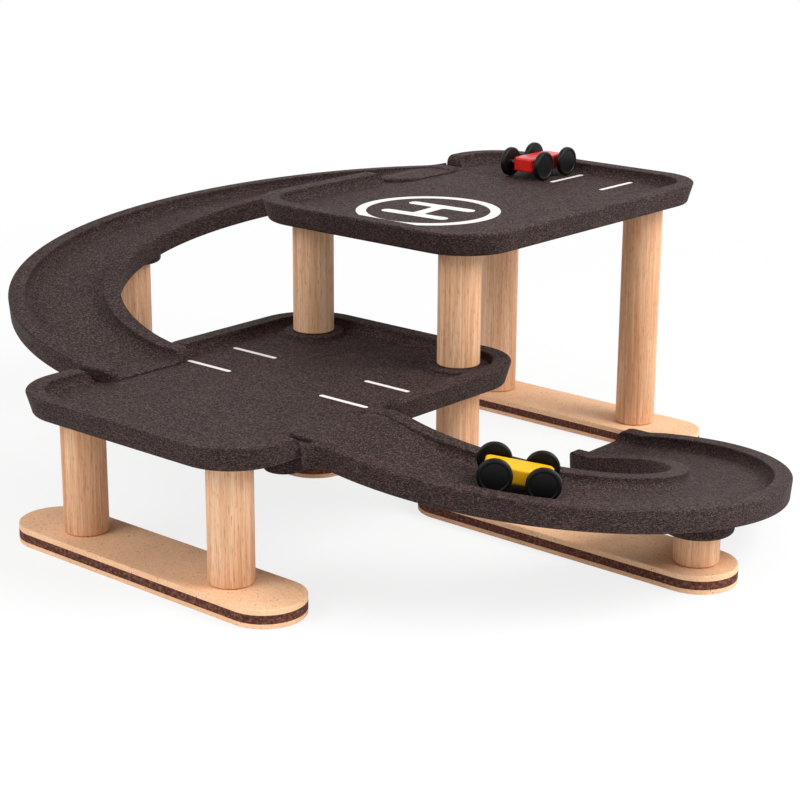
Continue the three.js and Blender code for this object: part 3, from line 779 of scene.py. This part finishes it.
def ramp_half_section(station, notch, outer_side):
    """Half of the section as (offset, height), from the bottom's middle to the floor's middle."""
    top = wall_top(station)
    floor = floor_line(station)
    bottom = rim_line(station) - RAMP_HEIGHT
    if notch is None:
        bottom += toe_lift(station)
    wall = top - floor
    edge = min(RIM_EDGE_ROUND, wall)
    inner_edge = min(RIM_INNER_ROUND, wall / 2)
    cove = min(COVE_RUN, wall - inner_edge)
    foot = RAMP_HALF_WIDTH - RAMP_DRAFT
    rim_inside = RAMP_HALF_WIDTH - RIM_WIDTH
    rise = min(RAMP_BOTTOM_ROUND, (top - edge - bottom) / 2)
    lower = oval(foot - RAMP_BOTTOM_ROUND, bottom + rise, RAMP_BOTTOM_ROUND, rise, -1, 0)
    side_rise = top - edge - lower[-1][1]
    if notch is not None and notch > bottom:
        reach = foot + RAMP_DRAFT * max(notch - lower[-1][1], 0.0) / side_rise
        lower[:, 0] = np.minimum(lower[:, 0] * reach / foot, reach)
        lower[:, 1] = notch
    outer = oval(RAMP_HALF_WIDTH - RIM_EDGE_ROUND, top - edge, RIM_EDGE_ROUND, edge, 0, 1)
    inner = oval(rim_inside + RIM_INNER_ROUND, top - inner_edge, RIM_INNER_ROUND, inner_edge, 1, 2)
    hollow = oval(rim_inside - COVE_RUN, floor + cove, COVE_RUN, cove, 0, -1, COVE_STEPS)
    if outer_side and notch is None:
        lower[:, 0] += start_flare(station)
        outer[:, 0] += start_flare(station)
    half = np.concatenate([lower, outer, inner, hollow])
    shape_tip(half, station, outer_side)
    return half


def ramp_ring(station, notch=None):
    """The whole section in its place. A notch is the height that the underside is cut back to."""
    outer_half = ramp_half_section(station, notch, True)
    inner_half = ramp_half_section(station, notch, False)
    section = np.concatenate([outer_half, (inner_half * (-1, 1))[::-1]])
    x, y, across, along = track(station)
    offset, height = section[:, 0], section[:, 1]
    return np.stack([x + across * offset, y + along * offset, height], axis=1)


def ramp_stations(reach):
    """Stations from the end back to the start, close together where the shape changes fast."""
    tip = TONGUE_TIP_ROUND * np.array(TIP_SHARES)
    rise_shares = np.linspace(0, 1, RISE_STEPS + 1)[RISE_STEPS_LEFT_OUT:]
    rise = WALL_TIP_ROUND * (1 - np.cos(rise_shares * QUARTER))
    tongue = np.concatenate([tip, rise, np.arange(rise[-1] + TONGUE_STEP, TONGUE_REACH, TONGUE_STEP)])
    flare_shares = np.linspace(0, 1, FLARE_STEPS + 1)[1:]
    flare = reach + START_FLARE * (1 - np.cos(flare_shares * QUARTER))
    middle = np.arange(flare[-1] + STATION_STEP, ramp_run - reach - STATION_SPARE, STATION_STEP)
    stations = np.concatenate([tongue, [reach], flare, middle, [ramp_run - reach], ramp_run - tongue])
    return np.sort(stations)[::-1]


def ramp_body(ends_on_deck):
    """The trough, from its end back to its start. A tongue for a deck is thinned below."""
    reach = TONGUE_REACH + SEAT_GAP
    rings = []
    for station in ramp_stations(reach):
        notch = None
        if station <= reach:
            notch = lower_floor + SEAT_GAP
        elif ends_on_deck and station >= ramp_run - reach:
            notch = end_floor + SEAT_GAP
        ring = ramp_ring(station, notch)
        if station == reach:
            rings.extend([ramp_ring(station), ring])
        elif notch is not None and station == ramp_run - reach:
            rings.extend([ring, ramp_ring(station)])
        else:
            rings.append(ring)
    return skin(rings)


def ramp_boss():
    """The round boss under the turn, with a bore for its dowel. Its top lies inside the sloping floor."""
    low = rim_line(ramp_run / 2) - RAMP_HEIGHT - RAMP_BOSS_DROP
    bore = DOWEL_RADIUS + BORE_GAP
    profile = [
        (bore, low + DOWEL_IN_BOSS + END_GAP),
        (bore, low),
        *arc(RAMP_BOSS_RADIUS - RAMP_BOSS_ROUND, low + RAMP_BOSS_ROUND, RAMP_BOSS_ROUND, -1, 0),
        (RAMP_BOSS_RADIUS, lower_floor),
    ]
    points, faces = lathe(profile, RAMP_COLUMN_X, 0)
    for point in points:
        if point[2] == lower_floor:
            angle = math.atan2(point[1], point[0] - TURN_CENTRE_X)
            station = leg_run + (angle + QUARTER) * TURN_RADIUS
            point[2] = floor_line(station) - DECK_PLATE / 2
    return points, faces


def half_turned(shape, rise):
    """A shape turned half a circle about Z and raised."""
    points, faces = shape
    return points * (-1, -1, 1) + (0, 0, rise), faces


def ramps():
    boss = ramp_boss()
    stand_in_for("lower_ramp", ramp_body(False), "deck_composite", joins=[boss])
    upper = half_turned(ramp_body(True), storey_rise)
    stand_in_for("upper_ramp", upper, "deck_composite", joins=[half_turned(boss, storey_rise)])


# Columns and foot boards


def column(node):
    """A turned column with softened ends and the blind bores for its dowel or screw."""
    low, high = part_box(node)
    x = (low.x + high.x) / 2 / MM
    y = (low.y + high.y) / 2 / MM
    foot = low.z / MM
    top = high.z / MM
    middle = "middle" in node
    foot_bore = (SCREW_RADIUS + BORE_GAP, SCREW_IN_COLUMN + END_GAP)
    if node.endswith("upper"):
        foot_bore = (DOWEL_RADIUS + BORE_GAP, LONG_DOWEL_IN_COLUMN + END_GAP)
    top_depth = LONG_DOWEL_IN_COLUMN if middle and node.endswith("lower") else DOWEL_IN_COLUMN
    top_bore = DOWEL_RADIUS + BORE_GAP
    edge = COLUMN_RADIUS - COLUMN_EDGE_ROUND
    profile = [
        (foot_bore[0], foot + foot_bore[1]),
        (foot_bore[0], foot),
        *arc(edge, foot + COLUMN_EDGE_ROUND, COLUMN_EDGE_ROUND, -1, 0),
        *arc(edge, top - COLUMN_EDGE_ROUND, COLUMN_EDGE_ROUND, 0, 1),
        (top_bore, top),
        (top_bore, top - top_depth - END_GAP),
    ]
    stand_in_for(node, lathe(profile, x, y), "column_wood")


def board_layer(node, columns):
    """One layer of a foot board: rounded ends, a softened edge where it shows, and the screw holes."""
    low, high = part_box(node)
    x0, y0, z0 = (value / MM for value in low)
    x1, y1, z1 = (value / MM for value in high)
    y = (y0 + y1) / 2
    low_round = BOARD_EDGE_ROUND if node.endswith("bottom_ply") else PLY_EDGE_ROUND
    high_round = BOARD_EDGE_ROUND if node.endswith("top_ply") else PLY_EDGE_ROUND
    section = np.concatenate(
        [
            arc(low_round, z0 + low_round, low_round, -1, -2),
            arc(high_round, z1 - high_round, high_round, 2, 1),
        ]
    )
    rings = []
    for inset, height in section:
        radius = BOARD_RADIUS - inset
        right = arc(x1 - BOARD_RADIUS, y, radius, -1, 1, 2 * CORNER_STEPS)
        left = arc(x0 + BOARD_RADIUS, y, radius, 1, 3, 2 * CORNER_STEPS)
        outline = np.concatenate([right, left])
        rings.append(np.column_stack([outline, np.full(len(outline), height)]))
    cuts = []
    for x in columns:
        cuts.append(rod(SCREW_RADIUS + BORE_GAP, z0 - CUT_OVER, z1 + CUT_OVER, x, y))
        if node.endswith("bottom_ply"):
            head = SCREW_HEAD_RADIUS + BORE_GAP
            sink = SCREW_HEAD_SINK + BORE_GAP
            cone = [(head, -CUT_OVER), (head, sink), (SCREW_RADIUS, sink + SCREW_HEAD_HEIGHT)]
            cuts.append(lathe(cone, x, y, BORE_STEPS))
    slot = "board_core" if node.endswith("core") else "board_ply"
    stand_in_for(node, skin(rings), slot, cuts=cuts)


def stand():
    for node in sorted(frame["nodes"]):
        if node.startswith("column_"):
            column(node)
    grid = (-GRID_X, GRID_X)
    places = {
        "front": grid,
        "back": grid,
        "right": (GRID_X, RAMP_COLUMN_X),
        "left": (-RAMP_COLUMN_X, -GRID_X),
    }
    for place, columns in places.items():
        for layer in ("bottom_ply", "core", "top_ply"):
            board_layer(f"foot_board_{place}_{layer}", columns)


# Cars. A car's own frame has +Y forwards, +X to its right and the floor at zero.


def moved(shape, matrix):
    points, faces = shape
    turn = np.array(matrix.to_3x3())
    return points @ turn.T + np.array(matrix.translation), faces


def rounded_outline(width, length, corner):
    x = width / 2 - corner
    y = length / 2 - corner
    parts = [
        arc(x, -y, corner, -1, 0, CORNER_STEPS),
        arc(x, y, corner, 0, 1, CORNER_STEPS),
        arc(-x, y, corner, 1, 2, CORNER_STEPS),
        arc(-x, -y, corner, 2, 3, CORNER_STEPS),
    ]
    return np.concatenate(parts)


def car_body_shape():
    low = CAR_CLEARANCE
    high = CAR_CLEARANCE + CAR_HEIGHT
    section = np.concatenate(
        [
            arc(CAR_EDGE_ROUND, low + CAR_EDGE_ROUND, CAR_EDGE_ROUND, -1, -2),
            arc(CAR_EDGE_ROUND, high - CAR_EDGE_ROUND, CAR_EDGE_ROUND, 2, 1),
        ]
    )
    rings = []
    for inset, height in section:
        outline = rounded_outline(CAR_WIDTH - 2 * inset, CAR_LENGTH - 2 * inset, CAR_CORNER - inset)
        rings.append(np.column_stack([outline, np.full(len(outline), height)]))
    return skin(rings)


def wheel_shape():
    """A wheel about Z with its outer face up, its middle plane at zero and a blind bore from below."""
    half = WHEEL_WIDTH / 2
    shoulder = WHEEL_RADIUS - WHEEL_EDGE_ROUND
    bore = AXLE_RADIUS + HUB_BORE_GAP
    dish = shoulder - WHEEL_EDGE_ROUND
    slope = dish + WHEEL_DISH_ROUND * np.linspace(0, 1, WHEEL_DISH_STEPS + 1)
    ease = [smooth_step(radius, dish, dish + WHEEL_DISH_ROUND) for radius in slope]
    face = [(radius, half - WHEEL_DISH * (1 - share)) for radius, share in zip(slope, ease)]
    profile = [
        (bore, AXLE_IN_WHEEL + HUB_BORE_GAP - half),
        (bore, -half),
        *arc(shoulder, WHEEL_EDGE_ROUND - half, WHEEL_EDGE_ROUND, -1, 0),
        *arc(shoulder, half - WHEEL_EDGE_ROUND, WHEEL_EDGE_ROUND, 0, 1),
        *face[::-1],
    ]
    return lathe(profile)


def red_car_place():
    low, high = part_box("red_car_body")
    ground = low.z / MM - CAR_CLEARANCE
    return Matrix.Translation(((low.x + high.x) / 2 / MM, (low.y + high.y) / 2 / MM, ground))


def yellow_car_place():
    station = leg_run + (YELLOW_CAR_ANGLE + QUARTER) * TURN_RADIUS
    x, y, across, along = track(station)
    forward = Vector((-along, across, -rim_slope)).normalized()
    right = Vector((across, along, 0))
    up = right.cross(forward)
    ground = Vector((x, y, floor_line(station))) + up * RAMP_WHEEL_GAP
    turn = Matrix((right, forward, up)).transposed()
    return Matrix.Translation(ground) @ turn.to_4x4()


def car(name, paint, place):
    """A car's body with its axle bores, and on each axle's own body the axle and its two wheels."""
    cuts = []
    lying = Matrix.Rotation(QUARTER, 4, "Y")
    for end in (-1, 1):
        centre = Matrix.Translation((0, end * CAR_WHEELBASE / 2, WHEEL_RADIUS))
        bore = rod(AXLE_RADIUS + AXLE_BORE_GAP, -CAR_WIDTH, CAR_WIDTH)
        cuts.append(moved(bore, place @ centre @ lying))
    shape = moved(car_body_shape(), place)
    stand_in_for(f"{name}_car_body", shape, paint, body=f"{name}_car", cuts=cuts)
    axle_half = (CAR_TRACK - WHEEL_WIDTH) / 2 + AXLE_IN_WHEEL
    for end, sign in (("front", 1), ("rear", -1)):
        body = f"{name}_{end}_wheelset"
        centre = Matrix.Translation((0, sign * CAR_WHEELBASE / 2, WHEEL_RADIUS))
        axle = rod(AXLE_RADIUS, -axle_half, axle_half)
        stand_in_for(f"{name}_car_{end}_axle", moved(axle, place @ centre @ lying), "steel", body=body)
        for side, way in (("left", -1), ("right", 1)):
            outward = Matrix.Rotation(way * QUARTER, 4, "Y")
            hub = centre @ Matrix.Translation((way * CAR_TRACK / 2, 0, 0)) @ outward
            wheel = moved(wheel_shape(), place @ hub)
            stand_in_for(f"{name}_car_{end}_{side}_wheel", wheel, "wheel_black", body=body)


# Painted marks, as thin films on the decks' floors


def film(name, shape):
    finish_piece(raw_object(name, shape), mark_material, "garage")


def film_levels(floor):
    return floor + PAINT_LIFT, floor + PAINT_LIFT + PAINT_THICKNESS


def stroke_outline(length, width):
    """A bar along X with rounded ends."""
    x = (length - width) / 2
    ends = [arc(x, 0, width / 2, -1, 1, STROKE_STEPS), arc(-x, 0, width / 2, 1, 3, STROKE_STEPS)]
    return np.concatenate(ends)


def letter_outline():
    """The letter H lying on its side: two strokes along X and a bar between them, with filleted corners."""
    half = LETTER_LENGTH / 2 - LETTER_STROKE / 2
    inner = (LETTER_SPACING - LETTER_STROKE) / 2
    middle = LETTER_SPACING / 2
    bar = LETTER_BAR / 2
    r = LETTER_FILLET
    quarter = np.concatenate(
        [
            arc(bar + r, inner - r, r, 2, 1),
            arc(half, middle, LETTER_STROKE / 2, -1, 1, STROKE_STEPS),
        ]
    )
    right = np.concatenate([(quarter * (1, -1))[::-1], quarter])
    left = right * (-1, -1)
    return np.concatenate([right, left])


def placed(outline, centre, turn=0.0):
    across, along = math.cos(turn), math.sin(turn)
    x, y = outline[:, 0], outline[:, 1]
    return np.stack([centre[0] + x * across - y * along, centre[1] + x * along + y * across], axis=1)


def flat_film(name, outline, floor):
    low, high = film_levels(floor)
    rings = [np.column_stack([outline, np.full(len(outline), level)]) for level in (low, high)]
    film(name, skin(rings))


def ring_film(name, centre, outer, inner, floor):
    low, high = film_levels(floor)
    section = [(inner, high), (inner, low), (outer, low), (outer, high)]
    turn = np.arange(2 * LATHE_STEPS) / LATHE_STEPS * math.pi
    rings = []
    for radius, level in section:
        x = centre[0] + radius * np.cos(turn)
        y = centre[1] + radius * np.sin(turn)
        rings.append(np.stack([x, y, np.full(len(turn), level)], axis=1))
    points = np.concatenate(rings)
    rows = np.arange(len(points)).reshape(len(section), -1)
    onward = np.roll(rows, -1, axis=1)
    above = np.roll(rows, -1, axis=0)
    above_onward = np.roll(onward, -1, axis=0)
    faces = np.stack([rows, onward, above_onward, above], axis=-1).reshape(-1, 4).tolist()
    film(name, (points, faces))


def marks():
    ring_film("helipad_ring", PAD_CENTRE, PAD_OUTER_RADIUS, PAD_INNER_RADIUS, upper_floor)
    flat_film("helipad_letter", placed(letter_outline(), PAD_CENTRE, PAD_TURN), upper_floor)
    line = stroke_outline(BAY_LINE_LENGTH, BAY_LINE_WIDTH)
    for row, y in enumerate(LOWER_BAY_Y):
        for side, x in zip(("left", "right"), LOWER_BAY_X):
            flat_film(f"lower_bay_line_{side}_{row + 1}", placed(line, (x, y)), lower_floor)
    for count, x in enumerate(UPPER_BAY_X):
        flat_film(f"upper_bay_line_{count + 1}", placed(line, (x, UPPER_BAY_Y), QUARTER), upper_floor)


# Stage, light and camera


def seen_ray(nodes, links):
    """One for a ray that shows the background: from the camera, or by way of gloss or glass."""
    path = nodes.new("ShaderNodeLightPath")
    seen = path.outputs["Is Camera Ray"]
    for way in ("Is Glossy Ray", "Is Transmission Ray"):
        either = nodes.new("ShaderNodeMath")
        either.operation = "MAXIMUM"
        links.new(seen, either.inputs[0])
        links.new(path.outputs[way], either.inputs[1])
        seen = either.outputs[0]
    return seen


def stage():
    """A pale floor that keeps the object's shadow near it and turns plain white away from it."""
    size = FLOOR_HALF / MM
    corners = [(-size, -size), (size, -size), (size, size), (-size, size)]
    points = [(x, y, -FLOOR_CLEARANCE / MM) for x, y in corners]
    floor = raw_object("floor", (points, [(0, 1, 2, 3)]))
    finish = Finish("pale_floor")
    finish.set(Base_Color=FLOOR_COLOUR, Roughness=0.9, Specular_IOR_Level=0.0)
    away = finish.nodes.new("ShaderNodeVectorMath")
    away.operation = "LENGTH"
    finish.links.new(finish.place((1 / FLOOR_GLOW_REACH,) * 3), away.inputs[0])
    white_share = finish.ramp(away.outputs["Value"], (FLOOR_GLOW_FROM_SHARE, FLOOR_GLOW_NEAR), (1, 1.0))
    share = finish.math("MULTIPLY", seen_ray(finish.nodes, finish.links), white_share)
    glow = finish.nodes.new("ShaderNodeEmission")
    glow.inputs["Strength"].default_value = 1.0
    mixer = finish.nodes.new("ShaderNodeMixShader")
    output = next(node for node in finish.nodes if node.type == "OUTPUT_MATERIAL")
    finish.links.new(share, mixer.inputs["Fac"])
    finish.links.new(finish.shader.outputs["BSDF"], mixer.inputs[1])
    finish.links.new(glow.outputs["Emission"], mixer.inputs[2])
    finish.links.new(mixer.outputs["Shader"], output.inputs["Surface"])
    floor.data.materials.append(finish.material)


def soft_light(name, place, size, power):
    lamp = bpy.data.lights.new(name, "AREA")
    lamp.shape = "DISK"
    lamp.size = size
    lamp.energy = power
    light = bpy.data.objects.new(name, lamp)
    light.location = place
    light.rotation_euler = (-Vector(place)).to_track_quat("-Z", "Y").to_euler()
    bpy.context.scene.collection.objects.link(light)


def world():
    """Even light from all around, behind which a camera sees plain white."""
    sky = bpy.data.worlds.new("white_room")
    bpy.context.scene.world = sky
    sky.use_nodes = True
    nodes, links = sky.node_tree.nodes, sky.node_tree.links
    nodes.clear()
    output = nodes.new("ShaderNodeOutputWorld")
    lit = nodes.new("ShaderNodeBackground")
    lit.inputs["Color"].default_value = WHITE
    lit.inputs["Strength"].default_value = WORLD_STRENGTH
    seen = nodes.new("ShaderNodeBackground")
    seen.inputs["Color"].default_value = WHITE
    seen.inputs["Strength"].default_value = 1.0
    mixer = nodes.new("ShaderNodeMixShader")
    links.new(seen_ray(nodes, links), mixer.inputs["Fac"])
    links.new(lit.outputs["Background"], mixer.inputs[1])
    links.new(seen.outputs["Background"], mixer.inputs[2])
    links.new(mixer.outputs["Shader"], output.inputs["Surface"])


def camera():
    """The camera at the photograph's place and angle."""
    data = bpy.data.cameras.new("camera")
    data.sensor_width = CAMERA_SENSOR
    data.lens = CAMERA_LENS
    data.clip_start = CAMERA_CLIP_START
    data.clip_end = CAMERA_CLIP_END
    eye = bpy.data.objects.new("camera", data)
    forward = Vector(
        (
            -math.sin(CAMERA_YAW) * math.cos(CAMERA_PITCH),
            math.cos(CAMERA_YAW) * math.cos(CAMERA_PITCH),
            -math.sin(CAMERA_PITCH),
        )
    )
    right = forward.cross(Vector((0, 0, 1))).normalized()
    up = right.cross(forward)
    tilted_right = right * math.cos(CAMERA_ROLL) + up * math.sin(CAMERA_ROLL)
    tilted_up = up * math.cos(CAMERA_ROLL) - right * math.sin(CAMERA_ROLL)
    turn = Matrix((tilted_right, tilted_up, -forward)).transposed()
    eye.matrix_world = Matrix.Translation(CAMERA_PLACE) @ turn.to_4x4()
    bpy.context.scene.collection.objects.link(eye)
    bpy.context.scene.camera = eye


camera()
world()
soft_light("key", KEY_PLACE, KEY_SIZE, KEY_POWER)
soft_light("fill", FILL_PLACE, FILL_SIZE, FILL_POWER)
stage()
bpy.context.scene.view_settings.view_transform = "Standard"

slots = {row["node"]: row["material_slot"] for row in frame["record"]["subparts"]}
for node, piece in frame["nodes"].items():
    piece.data.materials.clear()
    piece.data.materials.append(materials[slots[node]])

stand()
decks()
ramps()
car("red", "red_paint", red_car_place())
car("yellow", "yellow_paint", yellow_car_place())
marks()
